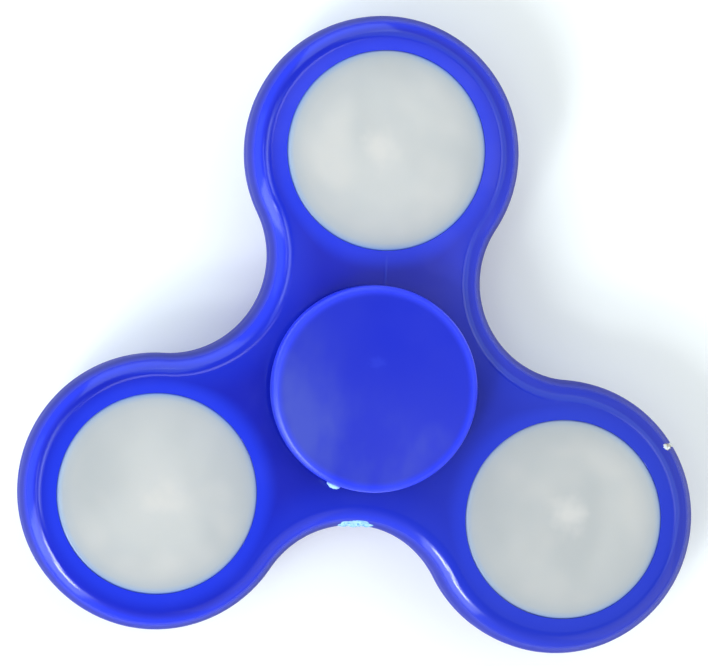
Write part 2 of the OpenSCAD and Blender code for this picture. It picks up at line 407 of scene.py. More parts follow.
def frame_shape():
    shape = Shape()
    path, share = frame_edge(), crease_share()
    shape.add(*loft([[(x, y, z + depth * k) for (x, y), k in zip(outline(inset), share)]
                     for inset, z, depth in path]))
    holes = [(BEARING_R, (0.0, 0.0))]
    holes += [(POD_HOLE_R, polar(POD_PITCH, FIRST_LOBE + i * POD_STEP)) for i in range(len(PODS))]
    for radius, centre in holes:
        shape.add(*hole_wall(radius, centre))
    rims = [hole_ring(radius + HOLE_EDGE_R, centre) for radius, centre in holes]
    shape.add(*plate_between([outline(path[-1][0])] + rims, FRAME_T, True))
    shape.add(*plate_between([outline(path[0][0])] + rims, 0.0, False))
    shape.points = [(x, y, z + REAR_Z) for x, y, z in shape.points]
    return shape


def edge_point(along, rise):
    """A point off the frame's edge: along is the distance up from the top of the flat side wall.

    Gives how far inside the outline it is and its height."""
    turn = max(0.0, along) / EDGE_R
    inset = EDGE_R - (EDGE_R - SKIN_INSET + rise) * math.cos(turn)
    return inset, FRONT_Z - EDGE_R + min(0.0, along) + (EDGE_R + rise) * math.sin(turn)


GATE_MIDDLE = -0.45
GATE_WIDTH = 4.8
GATE_PROUD = 0.45
GATE_HEIGHT = 2.1
GATE_BURIED = -0.2


def gate_rise(u, v, rng):
    """How proud the stub stands at a place in its patch, where u and v run from -1 to 1."""
    bearing = math.atan2(v, u)
    reach = 0.82 + 0.06 * math.sin(2 * bearing + 0.5) + 0.05 * math.sin(5 * bearing + 2)
    reach += 0.04 * math.sin(9 * bearing)
    body = max(0.0, 1 - (math.hypot(u, v) / reach) ** 5)
    tear = 0.6 + 0.4 * math.sin(8 * u + 3 * v) * math.cos(6 * v - 2 * u)
    return GATE_PROUD * body * tear * (0.75 + 0.25 * u) + body * rng.uniform(-0.06, 0.06) - 0.05


def gate_shape():
    """The torn stub where the moulding was broken off its runner: a ragged patch over a waist's edge."""
    rng = random.Random(7)
    cols, rows = 44, 20
    sheets = [[], []]
    for j in range(rows + 1):
        v = 2 * j / rows - 1
        for i in range(cols + 1):
            u = 2 * i / cols - 1
            angle = math.pi / 2 - (GATE_MIDDLE + u * GATE_WIDTH / 2) / WAIST_R
            for sheet, lift in zip(sheets, (gate_rise(u, v, rng), GATE_BURIED)):
                inset, z = edge_point(GATE_HEIGHT * (v + 1) / 2, lift)
                x, y = polar(WAIST_R + inset, angle)
                sheet.append((x, y - WAIST_PITCH, z))
    shape = Shape().add(sheets[0] + sheets[1], [])
    across, back = cols + 1, len(sheets[0])
    for j in range(rows):
        for i in range(cols):
            a = j * across + i
            face = [a, a + 1, a + across + 1, a + across]
            shape.faces += [face, [back + k for k in reversed(face)]]
    rim = list(range(across)) + [j * across + cols for j in range(1, rows + 1)]
    rim += [rows * across + i for i in range(cols - 1, -1, -1)]
    rim += [j * across for j in range(rows - 1, 0, -1)]
    for a, b in zip(rim, rim[1:] + rim[:1]):
        shape.faces.append([b, a, back + a, back + b])
    return shape


# Each lump of the crumb on the third lobe: its centre and radius
FLECK_LUMPS = (((33.7, -4.3, FRONT_Z - 0.5), 0.46), ((34.2, -4.1, FRONT_Z - 0.75), 0.3))


def fleck_shape():
    """A crumb of torn plastic that clings to the rounding of the third lobe."""
    rng = random.Random(3)
    shape = Shape()
    for at, radius in FLECK_LUMPS:
        points, faces = ball(radius, 8)
        lumps = [(x * k, y * k * 0.8, z * k * 0.7) for (x, y, z), k in
                 zip(points, [rng.uniform(0.7, 1.15) for _ in points])]
        shape.add(lumps, faces, at=at)
    return shape


# ---- Finger caps ----
# Each moulding nub on a cap's wall: its angle, how proud it stands and its width
NUBS = ((251, 0.5, 1.6), (58, 0.10, 0.6), (308, 0.10, 0.7))
NUB_Z = 2.7
NUB_HALF_HEIGHT = 0.6
TORN_NUB = 0.2
WALL_ROWS_FROM = 3.4
WALL_ROW = 0.12
WALL_ROWS = 12
LIP_R = 0.3


def cap_profile():
    """Half of a cap's section, as (radius, height above the frame's face)."""
    dish = [(CAP_DISH_R * i / 40, CAP_RISE - CAP_DISH * (1 - (i / 40) ** 2)) for i in range(41)]
    edge = arc((CAP_LAND_R, CAP_RISE - CAP_EDGE_R), CAP_EDGE_R, 90, 0, 12)
    lip = arc((CAP_R - LIP_R, CAP_GAP + LIP_R), LIP_R, 0, -90, 6)
    back = CAP_RISE - CAP_DISH - CAP_WALL
    inner = [(CAP_R - CAP_WALL + 0.1, CAP_GAP), (CAP_R - CAP_WALL, CAP_GAP + 0.1)]
    root = arc((CAP_R - CAP_WALL - 0.4, back - 0.4), 0.4, 0, 90, 5)
    boss = arc((BOSS_R + 0.3, back - 0.3), 0.3, 90, 180, 4)
    stem = [
        (BOSS_R, -BEARING_RECESS + 0.12), (BOSS_R - 0.12, -BEARING_RECESS),
        (STEM_R + 0.08, -BEARING_RECESS), (STEM_R, -BEARING_RECESS - 0.08),
        (STEM_R, STEM_END + 0.4), (STEM_R - 0.4, STEM_END),
        (STEM_BORE_R + 0.1, STEM_END), (STEM_BORE_R, STEM_END + 0.1),
        (STEM_BORE_R, STEM_FLOOR - 0.2), (STEM_BORE_R - 0.2, STEM_FLOOR), (0.0, STEM_FLOOR),
    ]
    wall = [(CAP_R, WALL_ROWS_FROM - WALL_ROW * i) for i in range(WALL_ROWS)]
    return dish + edge + wall + lip + inner + root + boss + stem


def cap_turns():
    """Angles round a cap, closer together at its moulding nubs."""
    turns = {round(math.degrees(t), 3) for t in even_turns(192)}
    for at, _, width in NUBS:
        half = math.degrees(width / CAP_R)
        turns |= {round(at + half * (i / 12 - 1), 3) for i in range(25)}
    return [math.radians(t) for t in sorted(turns)]


def raise_nubs(shape):
    """Pulls the nubs out of a cap's wall, and marks where their plastic has torn."""
    rng = random.Random(11)
    for i, (x, y, z) in enumerate(shape.points):
        r = math.hypot(x, y)
        if r < CAP_R - LIP_R - 0.01 or not CAP_GAP - 0.01 < z < WALL_ROWS_FROM + 0.1:
            continue
        for at, proud, width in NUBS:
            off = math.remainder(math.atan2(y, x) - math.radians(at), 2 * math.pi) * CAP_R
            spread = (2 * off / width) ** 2 + ((z - NUB_Z) / NUB_HALF_HEIGHT) ** 2
            lift = max(0.0, 1 - spread) ** 0.5
            if lift > 0:
                out = proud * lift * rng.uniform(0.75, 1.0)
                shape.points[i] = (x * (r + out) / r, y * (r + out) / r, z)
                shape.torn[i] = min(1.0, lift * 2.2) if proud > TORN_NUB else lift * 0.08


def cap_shape(front):
    """A finger cap. The rear one is the front one turned over, without the nubs."""
    shape = Shape().add(*revolve(cap_profile(), cap_turns()))
    if front:
        raise_nubs(shape)
        shape.points = [(x, y, z + FRONT_Z) for x, y, z in shape.points]
    else:
        shape.points = [(x, y, REAR_Z - z) for x, y, z in shape.points]
    return shape


# ---- Bearing ----
RACE_STEPS = 128
RACE_CHAMFER_R = 0.3
CAGE_STEPS = 48


def groove(land, side):
    """The ball track's section on a race whose land is at that radius, from shoulder to shoulder."""
    depth = abs(land - BALL_PITCH_R)
    half = math.degrees(math.acos(depth / GROOVE_R))
    middle = 0 if side > 0 else 180
    return arc((BALL_PITCH_R, 0), GROOVE_R, middle - side * half, middle + side * half, 14)


def outer_race_shape():
    top, step, c = BEARING_W / 2, BEARING_W / 2 - SHIELD_STEP, RACE_CHAMFER_R
    profile = [(SHIELD_STEP_R, -step), (SHIELD_STEP_R, -top + 0.08), (SHIELD_STEP_R + 0.08, -top)]
    profile += arc((BEARING_R - c, -top + c), c, -90, 0, 5)
    profile += arc((BEARING_R - c, top - c), c, 0, 90, 5)
    profile += [(SHIELD_STEP_R + 0.08, top), (SHIELD_STEP_R, top - 0.08), (SHIELD_STEP_R, step)]
    profile += [(OUTER_LAND_R + 0.08, step), (OUTER_LAND_R, step - 0.08)]
    profile += list(reversed(groove(OUTER_LAND_R, 1)))
    profile += [(OUTER_LAND_R, -step + 0.08), (OUTER_LAND_R + 0.08, -step)]
    return Shape().add(*revolve(profile, even_turns(RACE_STEPS)), at=(0, 0, MIDDLE_Z))


def inner_race_shape():
    top, c = BEARING_W / 2, RACE_CHAMFER_R
    profile = arc((STEM_R + c, -top + c), c, 180, 270, 5)
    profile += [(INNER_LAND_R - 0.1, -top), (INNER_LAND_R, -top + 0.1)]
    profile += list(reversed(groove(INNER_LAND_R, -1)))
    profile += [(INNER_LAND_R, top - 0.1), (INNER_LAND_R - 0.1, top)]
    profile += arc((STEM_R + c, top - c), c, 90, 180, 5)
    return Shape().add(*revolve(profile, even_turns(RACE_STEPS)), at=(0, 0, MIDDLE_Z))


def balls_shape():
    shape = Shape()
    points, faces = ball(BALL_R)
    for i in range(BALL_COUNT):
        turn = FIRST_LOBE + 2 * math.pi * i / BALL_COUNT
        shape.add(points, faces, at=(*polar(BALL_PITCH_R, turn), MIDDLE_Z))
    return shape


def cage_shape():
    """A snap-in cage: a ring with fingers between the balls, cut by the ball pockets."""
    turns = even_turns(BALL_COUNT * CAGE_STEPS)
    step = 2 * math.pi / BALL_COUNT
    half = POCKET_R / BALL_PITCH_R
    rings = [[] for _ in range(4)]
    for t in turns:
        off = math.remainder(t - FIRST_LOBE, step)
        across = BALL_PITCH_R * math.sin(abs(off))
        top = CAGE_TIP
        if across < POCKET_R:
            top = -math.sqrt(POCKET_R**2 - across**2)
        if abs(off) < half * 1.12 and top > -0.1:
            top = CAGE_TIP - 0.35
        for ring, (r, z) in zip(rings, [(CAGE_IN_R, CAGE_BASE), (CAGE_OUT_R, CAGE_BASE),
                                        (CAGE_OUT_R, top), (CAGE_IN_R, top)]):
            ring.append((*polar(r, t), z))
    points, faces = loft(rings + rings[:1])
    return Shape().add(points, faces, at=(0, 0, MIDDLE_Z))


# ---- Pods, drawn about their own axis with the frame's front face at zero height ----
def lens_shape():
    face_r = LENS_R - LENS_SHOULDER_W
    low = LENS_CROWN * (1 - (face_r / LENS_R) ** 2)
    crown = [(face_r * i / 32, LENS_CROWN - (LENS_CROWN - low) * (i / 32) ** 2) for i in range(32)]
    edge = [(face_r + x * LENS_SHOULDER_W, low - LENS_SHOULDER_DROP * (1 - z))
            for x, z in arc((0, 0), 1, 90, 0, 16)]
    inner_r = LENS_R - LENS_WALL
    skirt = [
        (LENS_R, LENS_LIP_BOTTOM + 0.1), (LENS_R - 0.1, LENS_LIP_BOTTOM),
        (LENS_LIP_R + 0.1, LENS_LIP_BOTTOM), (LENS_LIP_R, LENS_LIP_BOTTOM + 0.1),
        (LENS_LIP_R, LENS_LIP_TOP - 0.1), (LENS_LIP_R + 0.1, LENS_LIP_TOP), (inner_r, LENS_LIP_TOP),
    ]
    root = arc((inner_r - 0.3, -LENS_T - 0.3), 0.3, 0, 90, 5)
    shape = Shape().add(*revolve(crown + edge + skirt + root + [(0.0, -LENS_T)], even_turns(160)))
    post = [(0.0, -LENS_T + 0.25), (POST_R, -LENS_T + 0.25), (POST_R, POST_END + 0.1),
            (POST_R - 0.1, POST_END), (0.0, POST_END)]
    shape.add(*revolve(post, even_turns(40)), at=(SWITCH_X, 0, 0))
    return shape


def case_shape():
    rear, floor = -FRAME_T, -FRAME_T + 0.8
    neck_r, neck_in, case_r, wall_in = 9.7, 9.0, 11.0, 9.9
    board_floor = BOARD_TOP - BOARD_T
    top = -1.4
    profile = [(0.0, rear + 0.12), (1.1, rear + 0.12), (1.25, rear)]
    profile += [(8.9, rear), (9.0, rear + 0.15), (9.4, rear + 0.15), (9.5, rear)]
    profile += arc((case_r - 0.35, rear + 0.35), 0.35, -90, 0, 6)
    profile += [(case_r, BOARD_TOP - 0.1), (case_r - 0.1, BOARD_TOP), (neck_r + 0.15, BOARD_TOP),
                (neck_r, BOARD_TOP + 0.15), (neck_r, top - 0.15), (neck_r - 0.15, top),
                (neck_in + 0.1, top), (neck_in, top - 0.1), (neck_in, board_floor),
                (wall_in, board_floor), (wall_in, floor + 0.3), (wall_in - 0.3, floor), (0.0, floor)]
    shape = Shape().add(*revolve(profile, even_turns(160)))
    for i in range(3):
        turn = i * POD_STEP
        shape.add(*bead(), turn=turn)
        peg = [(0.0, floor - 0.3), (0.6, floor - 0.3), (0.6, board_floor - 0.12), (0.48, board_floor),
               (0.0, board_floor)]
        shape.add(*revolve(peg, even_turns(28)), at=polar(8.0, FIRST_LOBE + turn) + (0,))
    return shape


def bead():
    """One of the ribs on a case's neck that the lens clips over."""
    sections, steps = [], 16
    for k in range(steps + 1):
        turn = FIRST_LOBE + math.radians(40) * (k / steps - 0.5)
        end = min(1.0, 6 * min(k, steps - k) / steps)
        out = 9.5 + 0.65 * (0.35 + 0.65 * end)
        path = [(9.4, -2.5), (out - 0.1, -2.5), (out, -2.4), (out, -2.25), (out - 0.15, -2.1), (9.4, -2.1)]
        sections.append([(*polar(r, turn), z) for r, z in path])
    return closed_loft(sections)


def board_shape():
    """A round board with softened edges."""
    low, edge = BOARD_TOP - BOARD_T, 0.06
    profile = [(0.0, low), (BOARD_R - edge, low), (BOARD_R, low + edge), (BOARD_R, BOARD_TOP - edge),
               (BOARD_R - edge, BOARD_TOP), (0.0, BOARD_TOP)]
    return Shape().add(*revolve(profile, even_turns(128)))


def diodes_shape():
    """Three lamp packages: a body with sloping sides, a well and a domed filling."""
    shape = Shape()
    for i in range(3):
        turn = i * POD_STEP
        at = polar(LED_PITCH, FIRST_LOBE + turn) + (BOARD_TOP,)
        shape.add(*lamp_package(3.5, 2.8, 1.2), turn=turn, at=at)
    return shape


def lamp_package(length, width, h):
    """A rectangular package whose top is sunk into a round well."""
    x, y, steps = length / 2, width / 2, 48
    well = min(x, y) - 0.25
    sides = ((0.97, 0.0), (1.0, 0.08), (0.99, h - 0.1), (0.93, h))
    bowl = ((1.0, h), (0.95, h - 0.05), (0.8, h - 0.3), (0.55, h - 0.24),
            (0.28, h - 0.19), (0.02, h - 0.17))
    return closed_loft([square_ring(x * k, y * k, z, steps) for k, z in sides]
                       + [round_ring(well * k, z, steps) for k, z in bowl])


def chip_shape():
    """A small chip: a body with softened edges and eight formed legs."""
    shape = Shape().add(*block((3.0, 1.3, 0.95), 0.07), at=(0, CHIP_Y, BOARD_TOP + 0.15))
    for i in range(4):
        x = LEG_PITCH * (i - 1.5)
        for side in (-1, 1):
            shape.add(*leg(side), at=(x, CHIP_Y, BOARD_TOP))
    return shape


def leg(side):
    """A gull-wing leg, from the body's side down to the board."""
    w, t = 0.14, 0.06
    path = [(0.55, 0.5), (0.72, 0.5), (0.78, 0.42), (0.8, 0.1), (0.9, 0.0)]
    return closed_loft([[(dx * side, y * side, z + dz) for dx, dz in ((-w, 0), (w, 0), (w, t), (-w, t))]
                        for y, z in path])


def switch_base_shape():
    """The switch's housing, a square block with a round well."""
    half, h, floor, well = 2.3, SWITCH_BASE_H, 0.3, 1.9
    sides = ((0.97, 0), (1, 0.07), (1, h - 0.07), (0.97, h))
    bowl = ((well + 0.06, h), (well, h - 0.06), (well, floor + 0.05), (well - 0.05, floor))
    rings = [square_ring(half * k, half * k, z, SWITCH_STEPS) for k, z in sides]
    rings += [round_ring(r, z, SWITCH_STEPS) for r, z in bowl]
    return Shape().add(*closed_loft(rings), at=(0, 0, BOARD_TOP))


def switch_cover_shape():
    """The pressed cover: a plate with a round hole, and two bent legs."""
    top = BOARD_TOP + SWITCH_BASE_H
    hx, hy, t = 2.5, 2.3, 0.2
    sides = ((0.985, top), (1, top + 0.05), (1, top + t - 0.06), (0.975, top + t))
    hole = ((1.33, top + t), (1.25, top + t - 0.08), (1.25, top + 0.02), (1.27, top))
    rings = [square_ring(hx * k, hy * k, z, SWITCH_STEPS) for k, z in sides]
    rings += [round_ring(r, z, SWITCH_STEPS) for r, z in hole]
    shape = Shape().add(*loft(rings + rings[:1]))
    for side in (-1, 1):
        shape.add(*block((0.2, 2.3, 1.0), 0.05), at=(side * 2.4, 0, top - 0.9))
    return shape


def plunger_shape():
    top, flange = POST_END, PLUNGER_FLANGE
    profile = [(0.0, flange - 0.4), (1.52, flange - 0.4), (1.6, flange - 0.32), (1.6, flange - 0.08),
               (1.52, flange), (1.1, flange), (1.1, top - 0.15)]
    profile += arc((0.95, top - 0.15), 0.15, 0, 90, 4)
    return Shape().add(*revolve(profile + [(0.0, top)], even_turns(56)))


def dome_shape():
    """The snap dome, a thin dished disc."""
    rim, crown, radius = DOME_RIM, PLUNGER_FLANGE - 0.4 - DOME_T, 1.8
    lower = [(radius * i / 14, crown + (rim - crown) * (i / 14) ** 2) for i in range(15)]
    profile = [(r, z + DOME_T) for r, z in lower] + list(reversed(lower))
    return Shape().add(*revolve(profile, even_turns(64)))


def cell_shape():
    """A coin cell: the can with its crimped shoulder, and the smaller cap inside it."""
    top = BOARD_TOP - BOARD_T
    low = top - CELL_T
    profile = [(0.0, low), (CELL_R - 0.3, low)] + arc((CELL_R - 0.25, low + 0.25), 0.25, -90, 0, 6)
    profile += arc((CELL_R - 0.3, top - 0.45), 0.3, 0, 75, 5)
    profile += [(CELL_R - 0.45, top - 0.12), (CELL_R - 0.55, top - 0.24), (CELL_R - 0.75, top - 0.24),
                (CELL_R - 0.8, top - 0.1), (CELL_R - 0.95, top), (0.0, top)]
    return Shape().add(*revolve(profile, even_turns(112)))


def clip_shape():
    """The sprung strap under the cell, bent up at both ends."""
    z, t, w = BOARD_TOP - BOARD_T - CELL_T - 0.15, 0.15, 2.0
    end, up = CELL_R + 0.1 + t, BOARD_TOP - BOARD_T
    outer = [(-end, up)] + arc((-end + 0.35, z + 0.35), 0.35, 180, 270, 5)
    outer += arc((end - 0.35, z + 0.35), 0.35, 270, 360, 5) + [(end, up)]
    inner = [(end - t, up)] + arc((end - 0.35, z + 0.35), 0.2, 360, 270, 5)
    inner += arc((-end + 0.35, z + 0.35), 0.2, 270, 180, 5) + [(-end + t, up)]
    section = outer + inner
    count = len(section)
    points, faces = loft([[(x, y, h) for x, h in section] for y in (-w, w)])
    n = len(outer)
    for base, flip in ((0, False), (count, True)):
        for k in range(n - 1):
            face = [base + k, base + k + 1, base + count - 2 - k, base + count - 1 - k]
            faces.append(face[::-1] if flip else face)
    return Shape().add(points, faces)


# ---- Materials ----
class Paint:
    """A material's nodes, with short ways to make the ones used here."""

    def __init__(self, name, **values):
        self.material = bpy.data.materials.new(name)
        self.material.use_nodes = True
        self.tree = self.material.node_tree
        self.shader = self.tree.nodes["Principled BSDF"]
        for key, value in values.items():
            self.shader.inputs[key.replace("_", " ")].default_value = value
        self.coords = self.tree.nodes.new("ShaderNodeTexCoord").outputs["Object"]

    def wire(self, socket, value):
        if isinstance(value, bpy.types.NodeSocket):
            self.tree.links.new(value, socket)
        else:
            socket.default_value = value

    def node(self, kind, inputs, **settings):
        """A node with its settings, and its inputs set to values or wired to other nodes."""
        node = self.tree.nodes.new("ShaderNode" + kind)
        for key, value in settings.items():
            setattr(node, key, value)
        for key, value in inputs.items():
            self.wire(node.inputs[key], value)
        return node

    def noise(self, scale, detail=3.0, rough=0.5, coords=None, stretch=None):
        source = coords or self.coords
        if stretch:
            source = self.vector("MULTIPLY", source, stretch)
        values = {"Vector": source, "Scale": scale, "Detail": detail, "Roughness": rough}
        return self.node("TexNoise", values).outputs["Fac"]

    def specks(self, scale, size, share):
        """Sparse round specks: size is their radius in metres, share how many cells have one."""
        cells = self.node("TexVoronoi", {"Vector": self.coords, "Scale": scale})
        near = self.map(cells.outputs["Distance"], size * scale * 0.5, size * scale, 1, 0)
        pick = self.node("SeparateColor", {"Color": cells.outputs["Color"]}).outputs["Red"]
        return self.math("MULTIPLY", near, self.math("LESS_THAN", pick, share))

    def math(self, kind, a, b=0.0):
        return self.node("Math", {0: a, 1: b}, operation=kind).outputs[0]

    def vector(self, kind, a, b):
        node = self.node("VectorMath", {0: a, 1: b}, operation=kind)
        return node.outputs["Value" if kind in ("DISTANCE", "LENGTH") else "Vector"]

    def axes(self):
        node = self.node("SeparateXYZ", {0: self.coords})
        return node.outputs["X"], node.outputs["Y"], node.outputs["Z"]

    def map(self, value, low, high, first=0.0, last=1.0):
        """Goes smoothly from first, at low, to last, at high."""
        values = {"Value": value, "From Min": low, "From Max": high, "To Min": first, "To Max": last}
        return self.node("MapRange", values, interpolation_type="SMOOTHSTEP").outputs["Result"]

    def mix(self, share, a, b):
        a, b = (c if isinstance(c, bpy.types.NodeSocket) else (*c, 1.0) for c in (a, b))
        return self.node("Mix", {"Factor": share, 6: a, 7: b}, data_type="RGBA").outputs[2]

    def ramp(self, value, stops):
        node = self.node("ValToRGB", {"Fac": value})
        marks = node.color_ramp.elements
        while len(marks) < len(stops):
            marks.new(0.5)
        for mark, (where, colour) in zip(marks, stops):
            mark.position = where
            mark.color = (*colour, 1.0)
        return node.outputs["Color"]

    def attribute(self, name):
        return self.node("Attribute", {}, attribute_name=name).outputs["Fac"]

    def bump(self, height, depth, normal=None):
        """Depth is the height of a step from 0 to 1, in metres."""
        below = {"Normal": normal} if normal else {}
        return self.node("Bump", {"Distance": depth, "Height": height, **below}).outputs["Normal"]

    def set(self, **sockets):
        for key, value in sockets.items():
            self.wire(self.shader.inputs[key.replace("_", " ")], value)
        return self.material

    def flat(self):
        """The place, without its height."""
        return self.vector("MULTIPLY", self.coords, (1, 1, 0))

    def radius(self):
        """The distance from the piece's own upright axis."""
        return self.vector("LENGTH", self.flat(), (0, 0, 0))

    def nearest(self, radius, first):
        """The distance from the nearest of three axes that stand round the object's own."""
        flat = self.flat()
        near = None
        for i in range(len(PODS)):
            d = self.vector("DISTANCE", flat, (*polar(radius * MM, first + i * POD_STEP), 0))
            near = d if near is None else self.math("MINIMUM", near, d)
        return near


PLASTIC_IOR = 1.49
MILKY_IOR = 1.5
# Painted shade on the frame's face round the hub
HUB_SHADE_BLUE = (0.006, 0.012, 0.38)
# Painted glow on the frame's face round the pods and the waists
POD_GLOW_BLUE = (0.014, 0.036, 0.66)
# Painted glow on the frame's rounded edges
EDGE_GLOW_BLUE = (0.011, 0.034, 0.75)
# Painted shade on the frame's side wall
WALL_SHADE_BLUE = (0.004, 0.012, 0.30)
# Painted shade on the frame's right side
RIGHT_SHADE_BLUE = (0.016, 0.036, 0.40)
# Painted glow on the cap's thin rim
RIM_GLOW_BLUE = (0.016, 0.040, 0.95)
CLOUD_BLUE = (0.008, 0.018, 0.56)
LINE_BLUE = (0.05, 0.08, 0.62)
DUST_PALE = (0.45, 0.5, 0.7)
DISH_BLUE = (0.006, 0.018, 0.50)
DISH_CLOUD_BLUE = (0.006, 0.015, 0.43)
# Painted reflection on the cap's dish
DISH_REFLECTION_BLUE = (0.09, 0.12, 0.50)
MARK_BLUE = (0.04, 0.07, 0.72)
TORN_PALE = (0.46, 0.70, 0.86)
NUB_PALE = (0.42, 0.68, 0.95)

# Marks on the front, in metres: the knit line's place across, and how far up it runs
KNIT_X = 0.00085
KNIT_HALF_W = 0.00022
KNIT_Y = (0.0105, 0.0125, 0.0135, 0.0152)
# The cap's pale mark, and the middle of the painted reflection patch at its edge
CAP_MARK = (0.0, 0.0041, 0.0)
CAP_CORNER = (0.0066, -0.0056, 0.0)


def frame_blues_and_painted_light(p, x, y, level):
    """The frame's blues, with painted light: painted shade darkens the face round the hub, a painted glow
    brightens it round the pods, the waists and the rounded edges, and painted shade dulls the right side.
    """
    # Painted light: the face is lighter round the pods and the waists (painted glow) and darker at the hub
    # between them (painted shade)
    near_pod = p.nearest(POD_PITCH, FIRST_LOBE)
    glow = p.map(near_pod, (POD_HOLE_R + 0.4) * MM, (POD_HOLE_R + 2.6) * MM, 1.0, 0.0)
    near_waist = p.nearest(WAIST_PITCH, FIRST_LOBE + POD_STEP / 2)
    waist = p.map(near_waist, (WAIST_R + 2.2) * MM, (WAIST_R + 6.2) * MM, 0.45, 0.0)
    colour = p.mix(p.math("MAXIMUM", glow, waist), HUB_SHADE_BLUE, POD_GLOW_BLUE)
    # Painted glow: the rounded edges are lighter than the face
    edge = p.map(level, (FRAME_T / 2 - 0.55) * MM, FRAME_T / 2 * MM, 1.0, 0.0)
    colour = p.mix(edge, colour, EDGE_GLOW_BLUE)
    # Painted shade: darker towards the right, away from the light on the left
    right_shade = p.math("ADD", p.math("MULTIPLY", x, 0.95), p.math("MULTIPLY", y, -0.3))
    return p.mix(p.map(right_shade, -0.014, 0.032, 0.0, 0.72), colour, RIGHT_SHADE_BLUE)


def knit_line(p, x, y):
    """The faint line where two streams of plastic met, above the cap."""
    off = p.math("ABSOLUTE", p.math("SUBTRACT", x, KNIT_X))
    start, full, fade, end = KNIT_Y
    along = p.math("MULTIPLY", p.map(y, start, full, 0, 1), p.map(y, fade, end, 1, 0))
    return p.math("MULTIPLY", p.map(off, 0.0, KNIT_HALF_W, 1.0, 0.0), along)


def paint_frame():
    p = Paint("frame_blue_plastic", IOR=PLASTIC_IOR)
    x, y, z = p.axes()
    level = p.math("ABSOLUTE", p.math("SUBTRACT", z, MIDDLE_Z * MM))
    colour = frame_blues_and_painted_light(p, x, y, level)
    # Painted shade: the side wall is darker; the same mask also makes the wall rougher
    wall = p.map(level, (FRAME_T / 2 - 1.5) * MM, (FRAME_T / 2 - 0.45) * MM, 1.0, 0.0)
    colour = p.mix(wall, colour, WALL_SHADE_BLUE)
    colour = p.mix(p.map(p.noise(55, 2), 0.3, 0.7, 0.0, 0.2), colour, CLOUD_BLUE)
    line = knit_line(p, x, y)
    colour = p.mix(p.math("MULTIPLY", line, 0.35), colour, LINE_BLUE)
    dust = p.specks(170, 0.00009, 0.035)
    colour = p.mix(p.math("MULTIPLY", dust, 0.7), colour, DUST_PALE)
    rough = p.map(p.noise(160, 4, 0.6), 0.35, 0.75, 0.11, 0.19)
    rough = p.math("ADD", rough, p.math("MULTIPLY", wall, 0.45))
    rough = p.math("ADD", rough, p.math("MULTIPLY", dust, 0.4))
    normal = p.bump(p.noise(900, 2), 0.0000012)
    normal = p.bump(p.noise(120, 1), 0.000012, normal)
    normal = p.bump(line, 0.000006, normal)
    return p.set(Base_Color=colour, Roughness=rough, Normal=normal)


def cap_painted_reflection(p, flat):
    """Painted reflection: lighter patches, mostly on the cap's left side, and a patch at its lower right.
    """
    x, y, _ = p.axes()
    side = p.map(p.math("ADD", x, p.math("MULTIPLY", y, 1.2)), -0.010, 0.005, 1.0, 0.05)
    corner = p.vector("DISTANCE", flat, CAP_CORNER)
    side = p.math("MAXIMUM", side, p.map(corner, 0.0008, 0.0034, 1.0, 0.0))
    reflection_patches = p.noise(95, 4, 0.62, stretch=(1.0, 0.55, 1.0))
    return p.math("MULTIPLY", p.map(reflection_patches, 0.34, 0.66, 0.0, 0.42), side)


def paint_cap():
    p = Paint("cap_blue_plastic", IOR=PLASTIC_IOR)
    flat = p.flat()
    # Painted glow: the cap is lighter towards its rim
    rim = p.map(p.radius(), (CAP_DISH_R - 0.3) * MM, (CAP_R - 0.2) * MM, 0.0, 1.0)
    colour = p.mix(rim, DISH_BLUE, RIM_GLOW_BLUE)
    colour = p.mix(p.map(p.noise(90, 3), 0.3, 0.75, 0.0, 0.2), colour, DISH_CLOUD_BLUE)
    # Painted reflection: lighter patches on the cap's dish
    colour = p.mix(cap_painted_reflection(p, flat), colour, DISH_REFLECTION_BLUE)
    colour = p.mix(p.attribute("torn"), colour, NUB_PALE)
    mark = p.vector("DISTANCE", p.vector("MULTIPLY", flat, (1.0, 1.4, 1)), CAP_MARK)
    spread = p.math("ADD", mark, p.map(p.noise(900, 3, 0.6), 0, 1, -0.0007, 0.0007))
    colour = p.mix(p.map(spread, 0.0003, 0.0013, 0.2, 0.0), colour, MARK_BLUE)
    rough = p.map(p.noise(120, 3, 0.5), 0.3, 0.75, 0.285, 0.36)
    normal = p.bump(p.noise(1400, 2), 0.0000016)
    normal = p.bump(p.noise(130, 3, 0.6), 0.000040, normal)
    return p.set(Base_Color=colour, Roughness=rough, Normal=normal)


def paint_fleck():
    p = Paint("fleck_plastic", Roughness=0.6)
    grain = p.noise(1500, 3, 0.6)
    colour = p.ramp(grain, [(0.35, (0.22, 0.12, 0.06)), (0.5, (0.62, 0.58, 0.52)), (0.6, (0.8, 0.8, 0.78))])
    return p.set(Base_Color=colour, Normal=p.bump(grain, 0.00004))


def paint_torn():
    p = Paint("torn_gate_plastic", Roughness=0.6, IOR=PLASTIC_IOR)
    grain = p.noise(2600, 4, 0.7)
    colour = p.ramp(grain, [(0.3, (0.05, 0.12, 0.75)), (0.45, (0.25, 0.55, 0.85)), (0.62, TORN_PALE)])
    return p.set(Base_Color=colour, Normal=p.bump(grain, 0.00006))


# A lens's colours from its middle, at 0, to its edge, at 1: darker towards the edge, and blue at it, a
# painted glow of blue light from the frame round the lens
LENS_TONES_AND_EDGE_GLOW = (
    (0.0, (0.59, 0.56, 0.545)),
    (0.5, (0.56, 0.54, 0.53)),
    (0.84, (0.49, 0.48, 0.485)),
    (0.93, (0.43, 0.44, 0.475)),
    (0.975, (0.30, 0.38, 0.55)),
    (1.0, (0.13, 0.26, 0.72)),
)
DULLER_LENS = 3
TRACK_WAVES = 5200


